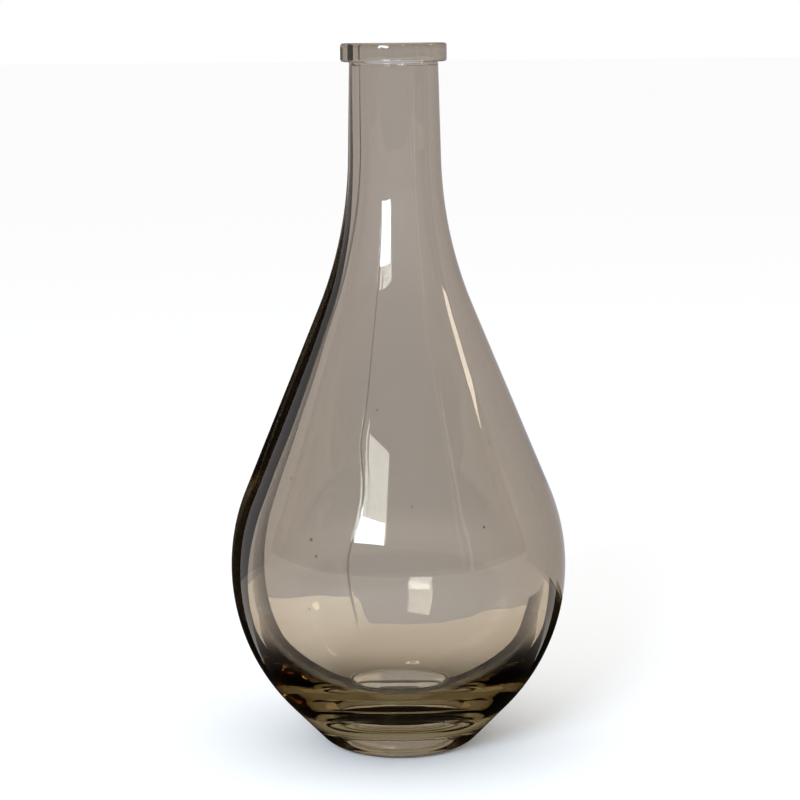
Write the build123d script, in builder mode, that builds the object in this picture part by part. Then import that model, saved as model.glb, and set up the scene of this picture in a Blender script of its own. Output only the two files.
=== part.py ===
from build123d import *
import os
from math import asin, atan2, cos, degrees, radians, sin, sqrt, tan

# Bottle vase of thick smoke-coloured glass, blown in one piece.
# The Z axis runs up the middle of the vase, which stands on z = 0. Lengths are in millimetres, angles in degrees.
# Flat cuts across the axis divide the glass into zones, and each ring of glass stands on the one below it.

# Mouth, lip ring and neck
mouth_diameter = 25.0
mouth_edge = 0.8  # rounding of the mouth's inner edge
lip_height = 6.5
lip_overhang = 3.0  # how far the lip ring stands out from the neck
lip_edge = 1.0  # rounding of the lip ring's outer edges
neck_length = 33.5
neck_top_wall = 3.0  # under the lip ring
neck_foot_wall = 3.8  # where the neck begins to flare

# Body outline, from the neck root down to the foot
flare_arc = 145.0  # radius of the hollow curve between neck and shoulder
shoulder_angle = 22.5  # of the shoulder's straight cone, from the vertical
belly_diameter = 120.0
belly_arc = 72.0  # radius of the belly's round outline
heel_angle = 43.5  # of the heel's straight stretch, from the vertical
heel_length = 17.0
foot_edge = 9.0  # radius between the heel and the foot ring

# Glass thickness and inside bottom
shoulder_wall = 4.6  # at the top of the cone
belly_wall = 7.0
floor_height = 17.0
floor_thickness = 4.0  # over the hollow underneath
floor_corner = 42.0  # radius of the round bottom between the flat floor and the wall

# Hollow underneath
foot_ring_width = 1.0  # flat ring that the vase stands on
recess_lean = 2.0  # draft of the hollow's wall, from the vertical
recess_edge = 3.0  # rounding between the hollow's wall and its flat top

# Height of the cut between the heel and the belly
heel_top = 46.0


def direction(angle):
    """Unit vector in the section, turned up by an angle from straight out."""
    return Vector(1, 0).rotate(Axis.Z, angle)


# Outer outline: belly arc, with the heel and the foot edge below it
belly_radius = belly_diameter / 2
heel_rise = heel_length * cos(radians(heel_angle))
belly_height = foot_edge * (1 - sin(radians(heel_angle))) + heel_rise + belly_arc * sin(radians(heel_angle))
belly_centre = Vector(belly_radius - belly_arc, belly_height)
heel_high = belly_centre + direction(-heel_angle) * belly_arc
heel_low = heel_high - direction(90 - heel_angle) * heel_length
foot_centre = heel_low - direction(-heel_angle) * foot_edge
foot_radius = foot_centre.X

# Outer outline: cone, flare, neck and lip ring above it
mouth_radius = mouth_diameter / 2
neck_foot_radius = mouth_radius + neck_foot_wall
neck_top_radius = mouth_radius + neck_top_wall
lip_radius = neck_top_radius + lip_overhang
neck_angle = degrees(atan2(neck_foot_radius - neck_top_radius, neck_length))
cone_low = belly_centre + direction(shoulder_angle) * belly_arc
flare_width = flare_arc * (cos(radians(neck_angle)) - cos(radians(shoulder_angle)))
cone_length = (cone_low.X - neck_foot_radius - flare_width) / sin(radians(shoulder_angle))
cone_high = cone_low + direction(90 + shoulder_angle) * cone_length
flare_centre = cone_high + direction(shoulder_angle) * flare_arc
neck_foot = flare_centre - direction(neck_angle) * flare_arc
neck_top = neck_foot.Y + neck_length
total_height = neck_top + lip_height

# Inner outline: the wall thins from the belly up to the neck
inner_angle = shoulder_angle - degrees(asin((belly_wall - shoulder_wall) / cone_length))
inner_belly_arc = belly_arc - belly_wall
inner_cone_low = belly_centre + direction(inner_angle) * inner_belly_arc
inner_slope = direction(90 + inner_angle)
inner_cone_high = inner_cone_low + inner_slope * (cone_high - inner_cone_low).dot(inner_slope)
inner_flare_arc = (inner_cone_high.X - mouth_radius) / (1 - cos(radians(inner_angle)))
inner_flare_centre = inner_cone_high + direction(inner_angle) * inner_flare_arc

# Inner outline: small flat floor in a round bottom that runs into the wall
corner_height = floor_height + floor_corner
corner_reach = sqrt((inner_belly_arc - floor_corner) ** 2 - (belly_height - corner_height) ** 2)
corner_centre = Vector(belly_centre.X + corner_reach, corner_height)
corner_angle = degrees(atan2(corner_height - belly_height, corner_reach))

# Hollow underneath: pushed up inside the foot ring, with a flat top and a rounded edge
recess_radius = foot_radius - foot_ring_width
recess_depth = floor_height - floor_thickness
recess_turn = 90 - recess_lean
recess_top_radius = recess_radius - recess_depth * tan(radians(recess_lean))
recess_flat = recess_top_radius - recess_edge * tan(radians(recess_turn / 2))
recess_centre = Vector(recess_flat, recess_depth - recess_edge)

# Half section of the glass, with the axis on the left
with BuildSketch() as glass:
    with BuildLine():
        Line((recess_radius, 0), (foot_radius, 0))
        CenterArc(foot_centre, foot_edge, -90, 90 - heel_angle)
        Line(heel_low, heel_high)
        CenterArc(belly_centre, belly_arc, -heel_angle, heel_angle + shoulder_angle)
        Line(cone_low, cone_high)
        CenterArc(flare_centre, flare_arc, 180 + shoulder_angle, neck_angle - shoulder_angle)
        Line(neck_foot, (neck_top_radius, neck_top))
        Line((neck_top_radius, neck_top), (lip_radius - lip_edge, neck_top))
        CenterArc((lip_radius - lip_edge, neck_top + lip_edge), lip_edge, -90, 90)
        Line((lip_radius, neck_top + lip_edge), (lip_radius, total_height - lip_edge))
        CenterArc((lip_radius - lip_edge, total_height - lip_edge), lip_edge, 0, 90)
        Line((lip_radius - lip_edge, total_height), (mouth_radius + mouth_edge, total_height))
        CenterArc((mouth_radius + mouth_edge, total_height - mouth_edge), mouth_edge, 90, 90)
        Line((mouth_radius, total_height - mouth_edge), (mouth_radius, inner_flare_centre.Y))
        CenterArc(inner_flare_centre, inner_flare_arc, 180, inner_angle)
        Line(inner_cone_high, inner_cone_low)
        CenterArc(belly_centre, inner_belly_arc, inner_angle, corner_angle - inner_angle)
        CenterArc(corner_centre, floor_corner, corner_angle, -90 - corner_angle)
        Line((corner_centre.X, floor_height), (0, floor_height))
        Line((0, floor_height), (0, recess_depth))
        Line((0, recess_depth), (recess_flat, recess_depth))
        CenterArc(recess_centre, recess_edge, 90, -recess_turn)
        Line(recess_centre + direction(recess_lean) * recess_edge, (recess_radius, 0))
    make_face()

# The cuts below and above the base cross the hollow's edge and the round bottom half way round
foot_top = recess_centre.Y + recess_edge * cos(radians(45))
base_top = corner_height - floor_corner * cos(radians(45))

# Zones of the glass, from the foot up: name and the heights of the cuts below and above
zones = [
    ("foot_ring", 0, foot_top),
    ("base", foot_top, base_top),
    ("heel", base_top, heel_top),
    ("belly", heel_top, cone_low.Y),
    ("shoulder", cone_low.Y, cone_high.Y),
    ("neck_root", cone_high.Y, neck_foot.Y),
    ("neck", neck_foot.Y, neck_top),
    ("lip_ring", neck_top, total_height),
]

os.makedirs("parts", exist_ok=True)
for zone_name, cut_below, cut_above in zones:
    with BuildPart() as zone:
        with BuildSketch(Plane.XZ):
            add(glass.sketch)
            with Locations((0, cut_below)):
                band = (belly_diameter, cut_above - cut_below)
                Rectangle(*band, align=(Align.MIN, Align.MIN), mode=Mode.INTERSECT)
        revolve(axis=Axis.Z)
    zone.part.label = zone_name
    export_step(zone.part, f"parts/{zone_name}.step")
    print(f"{zone_name}: z {cut_below:.2f} to {cut_above:.2f}, {zone.part.volume / 1000:.2f} cm3")

print(f"height {total_height:.2f}, foot ring radius {foot_radius:.2f}, widest at z {belly_height:.2f}")
print(f"straight mouth wall from z {inner_flare_centre.Y:.2f} to {total_height - mouth_edge:.2f}")
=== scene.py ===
import math

import bmesh
import bpy
from mathutils import Matrix, Vector, noise


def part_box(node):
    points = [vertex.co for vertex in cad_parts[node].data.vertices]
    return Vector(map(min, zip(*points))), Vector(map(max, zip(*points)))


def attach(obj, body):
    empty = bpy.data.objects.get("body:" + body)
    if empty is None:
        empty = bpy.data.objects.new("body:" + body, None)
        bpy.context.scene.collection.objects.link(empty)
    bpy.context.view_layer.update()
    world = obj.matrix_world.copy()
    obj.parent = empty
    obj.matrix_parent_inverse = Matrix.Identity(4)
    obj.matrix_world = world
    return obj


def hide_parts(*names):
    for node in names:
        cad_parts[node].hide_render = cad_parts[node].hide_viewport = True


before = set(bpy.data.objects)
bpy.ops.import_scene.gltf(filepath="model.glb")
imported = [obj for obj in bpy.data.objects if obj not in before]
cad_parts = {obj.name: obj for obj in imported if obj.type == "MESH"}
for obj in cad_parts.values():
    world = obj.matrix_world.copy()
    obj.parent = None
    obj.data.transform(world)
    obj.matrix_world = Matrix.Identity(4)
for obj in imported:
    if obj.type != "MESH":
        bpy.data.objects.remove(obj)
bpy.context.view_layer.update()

# Bottle vase of thick smoke-coloured glass.
# The mesh follows the section of the solids and adds the unevenness of blown glass.
# Lengths are in metres, and most of those below are written in millimetres. Angles are in degrees.
mm = 0.001

# Heights read from the frame
total_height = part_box("lip_ring")[1].z
neck_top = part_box("neck")[1].z
neck_foot_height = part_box("neck")[0].z

# Outer outline
lip_radius = 18.5 * mm
lip_edge = 1.0 * mm
neck_top_radius = 15.5 * mm
neck_foot_radius = 16.3 * mm
flare_arc = 145.0 * mm
shoulder_angle = 22.5
belly_radius = 60.0 * mm
belly_arc = 72.0 * mm
heel_angle = 43.5
heel_length = 17.0 * mm
foot_edge = 9.0 * mm

# Hollow underneath
foot_ring_width = 1.0 * mm
recess_depth = 13.0 * mm
recess_lean = 2.0
recess_edge = 3.0 * mm

# Inner outline
mouth_radius = 12.5 * mm
mouth_edge = 0.8 * mm
shoulder_wall = 4.6 * mm
belly_wall = 7.0 * mm
floor_height = 17.0 * mm
floor_corner = 42.0 * mm

# Waves of the inner wall and the outer skin: height, length and place in the noise
slow_wave = 0.7 * mm
slow_length = 65.0 * mm
slow_offset = 3.0
fine_wave = 0.10 * mm
fine_length = 20.0 * mm
fine_offset = 8.0
skin_wave = 0.03 * mm
skin_offset = 15.0
ripple_radius = 45.0 * mm

# Heights over which the waves come in and go out
inner_start = (34 * mm, 55 * mm)
inner_end = (150 * mm, 205 * mm)
skin_start = (20 * mm, 40 * mm)
skin_margin = 2.0 * mm

# Seed bubbles in the wall: polar angle, height, radius
bubble_depth = 2.2 * mm
bubbles = [(-121.7, 84.5 * mm, 0.50 * mm), (-119.0, 79.3 * mm, 0.40 * mm), (-121.0, 61.5 * mm, 0.30 * mm)]
bubbles += [(-100.0, 127.0 * mm, 0.35 * mm), (-58.0, 88.0 * mm, 0.45 * mm), (35.0, 104.0 * mm, 0.45 * mm)]
bubbles += [(84.0, 71.0 * mm, 0.40 * mm), (152.0, 93.0 * mm, 0.50 * mm), (10.0, 58.0 * mm, 0.35 * mm)]

# Mould seam, a real ridge which wanders by an angle on the belly; its dark line is painted shade
seam_turn = -105.0
seam_height = 0.16 * mm
seam_width = 0.7 * mm
seam_start = (50 * mm, 70 * mm)
seam_end = (170 * mm, 215 * mm)
seam_bend = 1.7
bend_middle = 89.0 * mm
bend_length = 44.0 * mm
bend_start = (40 * mm, 60 * mm)
bend_end = (110 * mm, 135 * mm)
# Colour multiplied into the glass along the seam ridge: painted shade that draws the ridge's dark line
seam_painted_shade = (0.30, 0.26, 0.22)

# Glass: smoke colour of the outer skin as tint and coat, and a weak colour of the glass itself
glass_ior = 1.5
tint = (0.86, 0.81, 0.76)
coat_tint = (0.846, 0.800, 0.751)
coat_ior = 1.05
volume_colour = (0.71, 0.68, 0.41)
volume_density = 20.0

# Mesh density, with extra columns beside the seam in shares of its width
around = 256
arc_step = 1.5 * mm
same_point = 0.01 * mm
recess_steps = 16
foot_steps = 12
lip_steps = 6
mat_steps = 64
seam_columns = (-1.6, -1.0, -0.5, 0.5, 1.0, 1.6)

# Colours of the stage
white = (1.0, 1.0, 1.0)
floor_colour = (0.97, 0.97, 0.97)
grey_colour = (0.65, 0.688, 0.78)
# Glow of the card under the hollow: painted light
painted_light_colour = (0.65, 0.62, 0.58)
dim_colour = (0.02, 0.019, 0.017)
# Dark colour of the flags, and also the painted shade and painted shadow of the mats
dark_colour = (0.012, 0.010, 0.008)

# Floor, and the mats that lie just above it, which carry painted shadow, painted shade and painted light
floor_half = 30.0
floor_drop = 0.2 * mm
mat_drop = 0.1 * mm
foot_reach = 22.0 * mm
# Painted shadow round the foot: a dark mat that fades to white
painted_shadow_mat_reach = 175.0 * mm
painted_shadow_mat_fade = 70.0 * mm
painted_shadow_mat_ends = (-200, 20)
# Painted shade on the floor under the front half of the hollow
painted_shade_under_hole = 1.0 * mm
# Painted light on the floor under the back half of the hollow
painted_light_under_hole = 10.0 * mm

# Grey card behind the vase: its lower edge steps up on the left and rises on the right
backdrop_place = 115.5 * mm
backdrop_half = 1.2
backdrop_top = 1.6
edge_spacing = 2.0 * mm
edge_samples = 45
edge_step = 17.3 * mm
step_stretch = (-20 * mm, -13 * mm)
edge_rise = 7.5 * mm
rise_stretch = (25 * mm, 55 * mm)
edge_wave = 2.0 * mm
edge_wave_length = 14.0 * mm
edge_offset = (0.3, 0.7)

# Dark flags that stand out from the glass at the left and the right, narrow where the vase is slim
fin_gap = 0.3 * mm
fin_reach = 50.0 * mm
fin_slim = (14 * mm, 28 * mm)
left_fin_angle = 163
right_fin_angle = 17
right_fin_top = 47.0 * mm

# Dim cards in front and beside, each with where it stands, and above
wall_width = 3.0
wall_height = 1.9
wall_middle = 1.05
walls = [("front_card", 0, -1.3), ("left_wall", -1.2, 0), ("right_wall", 1.9, 0)]
ceiling_width = 4.0
ceiling_height = 1.7

# Lamps: name, width, height, place, point it shines at, power, colour
window_level = 0.395
lamps = [("window", 0.272, 0.18, (-0.247, -0.644, window_level), (0, 0, window_level), 4.4, (0.7, 0.85, 1.0))]
lamps += [("side_lamp", 0.2, 0.2, (1.6, 0.03, 0.87), (0, 0, 0.15), 1.5, (1.0, 0.93, 0.8))]

# Most times that a light path may bounce: through the glass, and off its surface
glass_bounces = 40
surface_bounces = 24

# Camera, level with the rim
camera_distance = 0.7668
focal_pixels = 2182.0
image_pixels = 800
sensor_size = 36.0
camera_pitch = 9.3
camera_yaw = -0.083
camera_roll = 0.55


def direction(angle):
    """Unit vector in the section, turned up by an angle from straight out."""
    return Vector((math.cos(math.radians(angle)), math.sin(math.radians(angle))))


def arc(centre, radius, start, turn, least=4):
    """Points along an arc of the section, both ends included."""
    count = max(least, math.ceil(abs(math.radians(turn)) * radius / arc_step))
    return [centre + direction(start + turn * i / count) * radius for i in range(count + 1)]


def line(start, end):
    """Points along a straight stretch of the section, both ends included."""
    count = max(1, math.ceil((end - start).length / arc_step))
    return [start.lerp(end, i / count) for i in range(count + 1)]


def without_repeats(points):
    """The same outline with points that lie on top of the one before left out."""
    kept = [points[0]]
    for point in points[1:]:
        if (point - kept[-1]).length > same_point:
            kept.append(point)
    return kept


def glass_outlines():
    """Underside, outer and inner outline of the half section, from the axis below to the axis inside."""
    heel_rise = heel_length * math.cos(math.radians(heel_angle))
    foot_rise = foot_edge * (1 - math.sin(math.radians(heel_angle)))
    belly_rise = belly_arc * math.sin(math.radians(heel_angle))
    belly_centre = Vector((belly_radius - belly_arc, foot_rise + heel_rise + belly_rise))
    heel_high = belly_centre + direction(-heel_angle) * belly_arc
    heel_low = heel_high - direction(90 - heel_angle) * heel_length
    foot_centre = heel_low - direction(-heel_angle) * foot_edge

    recess_radius = foot_centre.x - foot_ring_width
    recess_top_radius = recess_radius - recess_depth * math.tan(math.radians(recess_lean))
    recess_flat = recess_top_radius - recess_edge * math.tan(math.radians((90 - recess_lean) / 2))
    recess_centre = Vector((recess_flat, recess_depth - recess_edge))
    under = line(Vector((0, recess_depth)), Vector((recess_flat, recess_depth)))
    under += arc(recess_centre, recess_edge, 90, recess_lean - 90, recess_steps)
    under += line(recess_centre + direction(recess_lean) * recess_edge, Vector((recess_radius, 0)))

    neck_angle = math.degrees(math.atan2(neck_foot_radius - neck_top_radius, neck_top - neck_foot_height))
    cone_low = belly_centre + direction(shoulder_angle) * belly_arc
    neck_foot = Vector((neck_foot_radius, neck_foot_height))
    flare_centre = neck_foot + direction(neck_angle) * flare_arc
    cone_high = flare_centre - direction(shoulder_angle) * flare_arc
    lip_turn = lip_radius - lip_edge
    mouth_turn = Vector((mouth_radius + mouth_edge, total_height - mouth_edge))
    outer = line(Vector((recess_radius, 0)), Vector((foot_centre.x, 0)))
    outer += arc(foot_centre, foot_edge, -90, 90 - heel_angle, foot_steps)
    outer += line(heel_low, heel_high)
    outer += arc(belly_centre, belly_arc, -heel_angle, heel_angle + shoulder_angle)
    outer += line(cone_low, cone_high)
    outer += arc(flare_centre, flare_arc, 180 + shoulder_angle, neck_angle - shoulder_angle)
    outer += line(neck_foot, Vector((neck_top_radius, neck_top)))
    outer += line(Vector((neck_top_radius, neck_top)), Vector((lip_turn, neck_top)))
    outer += arc(Vector((lip_turn, neck_top + lip_edge)), lip_edge, -90, 90, lip_steps)
    outer += arc(Vector((lip_turn, total_height - lip_edge)), lip_edge, 0, 90, lip_steps)
    outer += arc(mouth_turn, mouth_edge, 90, 90, lip_steps)

    cone_length = (cone_high - cone_low).length
    inner_angle = shoulder_angle - math.degrees(math.asin((belly_wall - shoulder_wall) / cone_length))
    inner_arc = belly_arc - belly_wall
    inner_low = belly_centre + direction(inner_angle) * inner_arc
    slope = direction(90 + inner_angle)
    inner_high = inner_low + slope * (cone_high - inner_low).dot(slope)
    inner_flare = (inner_high.x - mouth_radius) / (1 - math.cos(math.radians(inner_angle)))
    inner_flare_centre = inner_high + direction(inner_angle) * inner_flare
    bore_top = Vector((mouth_radius, total_height - mouth_edge))
    corner_height = floor_height + floor_corner
    corner_reach = math.sqrt((inner_arc - floor_corner) ** 2 - (belly_centre.y - corner_height) ** 2)
    corner_centre = Vector((belly_centre.x + corner_reach, corner_height))
    corner_angle = math.degrees(math.atan2(corner_height - belly_centre.y, corner_reach))
    inner = line(bore_top, Vector((mouth_radius, inner_flare_centre.y)))
    inner += arc(inner_flare_centre, inner_flare, 180, inner_angle)
    inner += line(inner_high, inner_low)
    inner += arc(belly_centre, inner_arc, inner_angle, corner_angle - inner_angle)
    inner += arc(corner_centre, floor_corner, corner_angle, -90 - corner_angle)
    inner += line(Vector((corner_centre.x, floor_height)), Vector((0, floor_height)))
    return under, outer, inner


def outer_radius(outline, height):
    """Radius of the outer outline at a height below the lip."""
    for low, high in zip(outline, outline[1:]):
        if low.y <= height < high.y:
            return low.lerp(high, (height - low.y) / (high.y - low.y)).x
    return lip_radius


def fade(value, low, high):
    """Runs smoothly from 0 at the low value to 1 at the high one."""
    share = min(1, max(0, (value - low) / (high - low)))
    return share * share * (3 - 2 * share)


def stretch(height, start, end):
    """Is 1 between two heights and runs smoothly to 0 over the start below and the end above."""
    return fade(height, *start) * (1 - fade(height, *end))


def ripple(turn, height, length, offset):
    """Smooth random value between about -1 and 1 that goes round the vase without a break."""
    reach = ripple_radius / length
    return noise.noise(Vector((math.cos(turn) * reach + offset, math.sin(turn) * reach, height / length)))


def inner_change(turn, height):
    """How far the inner wall of the belly and shoulder lies outside its plain outline."""
    wave = slow_wave * ripple(turn, height, slow_length, slow_offset)
    wave += fine_wave * ripple(turn, height, fine_length, fine_offset)
    return stretch(height, inner_start, inner_end) * wave


def seam_place(height):
    """Polar angle of the mould seam, which wanders a little on the body."""
    swing = math.sin(math.tau * (height - bend_middle) / bend_length)
    return math.radians(seam_turn + seam_bend * stretch(height, bend_start, bend_end) * swing)


def columns():
    """Turns of the mesh columns from the seam, closer together at the seam itself."""
    close = [seam_width * share / belly_radius for share in seam_columns]
    even = [math.tau * step / around for step in range(around)]
    return sorted(even + [turn % math.tau for turn in close])


def build_vessel():
    """One closed skin of glass: along the underside, up the outside, over the lip and down the inside."""
    under, outer, inner = glass_outlines()
    sections = [("under", without_repeats(under))]
    sections.append(("outer", without_repeats(outer)[1:]))
    sections.append(("inner", without_repeats(inner)[1:]))
    turns = columns()
    mesh = bmesh.new()
    rings = []
    outside = []
    seams = []
    for section, points in sections:
        mask = 1.0 if section == "outer" else 0.0
        for point in points:
            if point.x < same_point:
                rings.append([mesh.verts.new((0, 0, point.y))])
                outside.append(mask)
                seams.append(0.0)
                continue
            ring = []
            for offset in turns:
                turn = offset + seam_place(point.y)
                radius = point.x
                seam = 0.0
                if section == "inner":
                    radius += inner_change(turn, point.y)
                if section == "outer" and skin_start[0] < point.y < neck_top - skin_margin:
                    side = math.remainder(offset, math.tau) * belly_radius
                    seam = math.exp(-((side / (0.5 * seam_width)) ** 2))
                    seam *= stretch(point.y, seam_start, seam_end)
                    radius += seam_height * seam
                    skin = skin_wave * fade(point.y, *skin_start)
                    radius += skin * ripple(turn, point.y, fine_length, skin_offset)
                outside.append(mask)
                seams.append(seam)
                ring.append(mesh.verts.new((radius * math.cos(turn), radius * math.sin(turn), point.y)))
            rings.append(ring)
    count = len(turns)
    for low, high in zip(rings, rings[1:]):
        for step in range(count):
            after = (step + 1) % count
            below = [low[step % len(low)], low[after % len(low)]]
            above = [high[after % len(high)], high[step % len(high)]]
            mesh.faces.new(list(dict.fromkeys(below + above)))
    bmesh.ops.recalc_face_normals(mesh, faces=mesh.faces)
    for angle, height, radius in bubbles:
        reach = outer_radius(outer, height) - bubble_depth
        place = Matrix.Rotation(math.radians(angle), 4, "Z") @ Matrix.Translation((reach, 0, height))
        bubble = bmesh.ops.create_icosphere(mesh, subdivisions=2, radius=radius, matrix=place)["verts"]
        bmesh.ops.reverse_faces(mesh, faces=list({face for vert in bubble for face in vert.link_faces}))
        outside += [0.0] * len(bubble)
        seams += [0.0] * len(bubble)
    for face in mesh.faces:
        face.smooth = True
    data = bpy.data.meshes.new("glass_vessel")
    mesh.to_mesh(data)
    mesh.free()
    data.attributes.new("outside", "FLOAT", "POINT").data.foreach_set("value", outside)
    data.attributes.new("seam", "FLOAT", "POINT").data.foreach_set("value", seams)
    vessel = bpy.data.objects.new("glass_vessel", data)
    bpy.context.collection.objects.link(vessel)
    return vessel


def mixed_colour(tree, share, first, second, blend_type="MIX"):
    """Output of a node that mixes a second colour into a first one, which may be another node's output."""
    mix = tree.nodes.new("ShaderNodeMix")
    mix.data_type = "RGBA"
    mix.blend_type = blend_type
    colours = [socket for socket in mix.inputs if socket.type == "RGBA"]
    tree.links.new(share, mix.inputs["Factor"])
    if isinstance(first, tuple):
        colours[0].default_value = (*first, 1)
    else:
        tree.links.new(first, colours[0])
    colours[1].default_value = (*second, 1)
    return next(socket for socket in mix.outputs if socket.type == "RGBA")


def smoke_glass():
    """Clear glass with smoke colour on its outer skin, and painted shade along the seam ridge."""
    material = bpy.data.materials.new("smoke_glass")
    material.use_nodes = True
    tree = material.node_tree
    shader = tree.nodes["Principled BSDF"]
    shader.inputs["Transmission Weight"].default_value = 1.0
    shader.inputs["IOR"].default_value = glass_ior
    shader.inputs["Roughness"].default_value = 0.0
    shader.inputs["Coat IOR"].default_value = coat_ior
    shader.inputs["Coat Roughness"].default_value = 0.0
    shader.inputs["Coat Tint"].default_value = (*coat_tint, 1)
    outside = tree.nodes.new("ShaderNodeAttribute")
    outside.attribute_name = "outside"
    seam = tree.nodes.new("ShaderNodeAttribute")
    seam.attribute_name = "seam"
    tree.links.new(outside.outputs["Fac"], shader.inputs["Coat Weight"])
    skin = mixed_colour(tree, outside.outputs["Fac"], white, tint)
    # Painted shade along the seam ridge
    seam_shaded = mixed_colour(tree, seam.outputs["Fac"], skin, seam_painted_shade, "MULTIPLY")
    tree.links.new(seam_shaded, shader.inputs["Base Color"])
    volume = tree.nodes.new("ShaderNodeVolumeAbsorption")
    volume.inputs["Color"].default_value = (*volume_colour, 1)
    volume.inputs["Density"].default_value = volume_density
    tree.links.new(volume.outputs["Volume"], tree.nodes["Material Output"].inputs["Volume"])
    return material


def plain_material(name, colour):
    """Matt material for the floor."""
    material = bpy.data.materials.new(name)
    material.use_nodes = True
    shader = material.node_tree.nodes["Principled BSDF"]
    shader.inputs["Base Color"].default_value = (*colour, 1)
    shader.inputs["Roughness"].default_value = 1.0
    shader.inputs["Specular IOR Level"].default_value = 0.0
    return material


def glow_material(name, colour):
    """Material for a card that has the same brightness however the room is lit."""
    material = bpy.data.materials.new(name)
    material.use_nodes = True
    nodes = material.node_tree.nodes
    nodes.remove(nodes["Principled BSDF"])
    glow = nodes.new("ShaderNodeEmission")
    glow.inputs["Color"].default_value = (*colour, 1)
    material.node_tree.links.new(glow.outputs["Emission"], nodes["Material Output"].inputs["Surface"])
    return material


def one_sided_material(name, colour):
    """Material for a flag that is dark on its front and lets light through from behind."""
    material = glow_material(name, colour)
    nodes = material.node_tree.nodes
    links = material.node_tree.links
    geometry = nodes.new("ShaderNodeNewGeometry")
    clear = nodes.new("ShaderNodeBsdfTransparent")
    sides = nodes.new("ShaderNodeMixShader")
    links.new(geometry.outputs["Backfacing"], sides.inputs[0])
    links.new(nodes["Emission"].outputs["Emission"], sides.inputs[1])
    links.new(clear.outputs["BSDF"], sides.inputs[2])
    links.new(sides.outputs["Shader"], nodes["Material Output"].inputs["Surface"])
    return material


def fading_material(name, colour, start, end):
    """Glowing material for a mat that fades from a colour near the axis to white further out: a painted
    shadow round the foot.
    """
    material = glow_material(name, colour)
    tree = material.node_tree
    place = tree.nodes.new("ShaderNodeTexCoord")
    distance = tree.nodes.new("ShaderNodeVectorMath")
    distance.operation = "LENGTH"
    tree.links.new(place.outputs["Object"], distance.inputs[0])
    share = tree.nodes.new("ShaderNodeMapRange")
    share.interpolation_type = "SMOOTHSTEP"
    share.inputs["From Min"].default_value = start
    share.inputs["From Max"].default_value = end
    tree.links.new(distance.outputs["Value"], share.inputs["Value"])
    faded = mixed_colour(tree, share.outputs["Result"], colour, white)
    tree.links.new(faded, tree.nodes["Emission"].inputs["Color"])
    return material


def flat_piece(name, corners, material):
    """Flat piece of the stage that the camera sees only through the glass or in it.

    The first half of the corners runs along one edge, and the second half runs back along the other.
    """
    data = bpy.data.meshes.new(name)
    half = len(corners) // 2
    faces = [(i, i + 1, len(corners) - 2 - i, len(corners) - 1 - i) for i in range(half - 1)]
    data.from_pydata(corners, [], faces)
    data.materials.append(material)
    obj = bpy.data.objects.new(name, data)
    obj.visible_camera = False
    obj.visible_shadow = False
    obj.visible_diffuse = False
    bpy.context.collection.objects.link(obj)
    return obj


def card(name, width, height, place, facing, material):
    """Studio card that stands at a place and faces a point."""
    w = width / 2
    h = height / 2
    obj = flat_piece(name, [(-w, -h, 0), (w, -h, 0), (w, h, 0), (-w, h, 0)], material)
    obj.location = place
    obj.rotation_euler = (Vector(facing) - Vector(place)).to_track_quat("Z", "Y").to_euler()
    return obj


def mat(name, inner, outer, start, end, material):
    """Flat ring sector on the floor round the vase, from one polar angle to another."""
    angles = [math.radians(start + (end - start) * step / mat_steps) for step in range(mat_steps + 1)]
    corners = [(inner * math.cos(angle), inner * math.sin(angle), 0) for angle in angles]
    corners += [(outer * math.cos(angle), outer * math.sin(angle), 0) for angle in reversed(angles)]
    obj = flat_piece(name, corners, material)
    obj.location.z = -mat_drop
    return obj


def fin(name, angle, top, material):
    """Dark flag that stands out from the glass, follows its outline up to a height and faces the front."""
    outline = [point for point in without_repeats(glass_outlines()[1]) if point.y < top]
    out = Matrix.Rotation(math.radians(angle), 3, "Z") @ Vector((1, 0, 0))
    corners = [out * (point.x + fin_gap) + Vector((0, 0, point.y)) for point in outline]
    for point in reversed(outline):
        reach = fin_gap + fin_reach * fade(point.x, *fin_slim)
        corners.append(out * (point.x + reach) + Vector((0, 0, point.y)))
    if out.x > 0:
        corners.reverse()
    return flat_piece(name, corners, material)


def backdrop(material):
    """Grey card behind the vase, with an uneven lower edge."""
    middle = [step * edge_spacing for step in range(-edge_samples, edge_samples + 1)]
    places = [-backdrop_half] + middle + [backdrop_half]
    corners = []
    for place in places:
        edge = edge_step * (1 - fade(place, *step_stretch)) + edge_rise * fade(place, *rise_stretch)
        edge += edge_wave * noise.noise(Vector((place / edge_wave_length, *edge_offset)))
        corners.append((place, backdrop_place, max(0, edge)))
    corners += [(place, backdrop_place, backdrop_top) for place in reversed(places)]
    return flat_piece("back_card", corners, material)


def lamp(name, width, height, place, facing, energy, colour):
    """Rectangular lamp that shines towards a point."""
    data = bpy.data.lights.new(name, "AREA")
    data.shape = "RECTANGLE"
    data.size = width
    data.size_y = height
    data.energy = energy
    data.color = colour
    obj = bpy.data.objects.new(name, data)
    obj.location = place
    obj.rotation_euler = (Vector(place) - Vector(facing)).to_track_quat("Z", "Y").to_euler()
    bpy.context.collection.objects.link(obj)
    return obj


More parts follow.
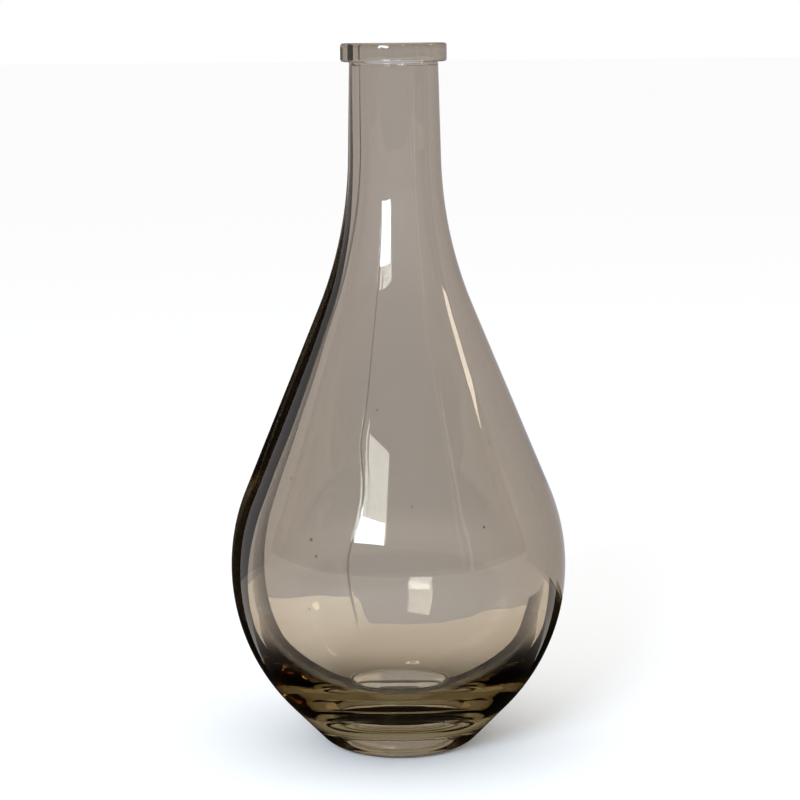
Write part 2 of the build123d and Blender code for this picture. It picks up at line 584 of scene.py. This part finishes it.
def build_floor():
    """Pale floor that keeps the shadow, and white surroundings."""
    corners = [(x * floor_half, y * floor_half, 0) for x, y in ((-1, -1), (1, -1), (1, 1), (-1, 1))]
    data = bpy.data.meshes.new("floor")
    data.from_pydata(corners, [], [(0, 1, 2, 3)])
    data.materials.append(plain_material("floor", floor_colour))
    floor = bpy.data.objects.new("floor", data)
    floor.location.z = -floor_drop
    bpy.context.collection.objects.link(floor)

    world = bpy.data.worlds.new("studio")
    bpy.context.scene.world = world
    world.use_nodes = True
    background = world.node_tree.nodes["Background"]
    background.inputs["Color"].default_value = (*white, 1)
    background.inputs["Strength"].default_value = 1.0


def build_studio():
    """Cards, flags and lamps that the glass shows, and mats of painted shadow, painted shade and painted
    light.
    """
    dark = glow_material("painted_shade_card", dark_colour)
    dim = glow_material("dim_card", dim_colour)
    pale = glow_material("painted_light_card", painted_light_colour)
    backdrop(glow_material("back_card", grey_colour))
    flag = one_sided_material("flag", dark_colour)
    fin("left_fin", left_fin_angle, total_height - lip_edge, flag)
    fin("right_fin", right_fin_angle, right_fin_top, flag)
    for name, x, y in walls:
        card(name, wall_width, wall_height, (x, y, wall_middle), (0, 0, wall_middle), dim)
    card("ceiling", ceiling_width, ceiling_width, (0, 0, ceiling_height), (0, mm, 0), dim)
    # Painted shadow on the floor round the foot, dark near the glass and fading to white further out
    shadow_paint = fading_material("painted_shadow_mat", dark_colour, painted_shadow_mat_fade, painted_shadow_mat_reach)
    mat("painted_shadow_mat", foot_reach, painted_shadow_mat_reach, *painted_shadow_mat_ends, shadow_paint)
    # Painted shade: a dark sheet under the front half of the hollow
    mat("painted_shade_under", painted_shade_under_hole, foot_reach, -180, 0, dark)
    # Painted light: a glowing card under the back half of the hollow, where the floor lies in shade
    mat("painted_light_under", painted_light_under_hole, foot_reach, 0, 180, pale)
    for settings in lamps:
        lamp(*settings)


def build_camera():
    """Camera level with the rim, tilted down a little and rolled a touch."""
    data = bpy.data.cameras.new("camera")
    data.sensor_width = sensor_size
    data.lens = focal_pixels * sensor_size / image_pixels
    camera = bpy.data.objects.new("camera", data)
    turn = Matrix.Rotation(math.radians(camera_yaw), 4, "Z")
    tilt = Matrix.Rotation(math.radians(90 - camera_pitch), 4, "X")
    lean = Matrix.Rotation(math.radians(-camera_roll), 4, "Z")
    camera.matrix_world = Matrix.Translation((0, -camera_distance, total_height)) @ turn @ tilt @ lean
    bpy.context.collection.objects.link(camera)
    bpy.context.scene.camera = camera


vessel = build_vessel()
vessel.data.materials.append(smoke_glass())
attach(vessel, "root")
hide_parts("foot_ring", "base", "heel", "belly", "shoulder", "neck_root", "neck", "lip_ring")

build_floor()
build_studio()
build_camera()

scene = bpy.context.scene
scene.view_settings.view_transform = "Standard"
scene.cycles.max_bounces = glass_bounces
scene.cycles.transmission_bounces = glass_bounces
scene.cycles.glossy_bounces = surface_bounces
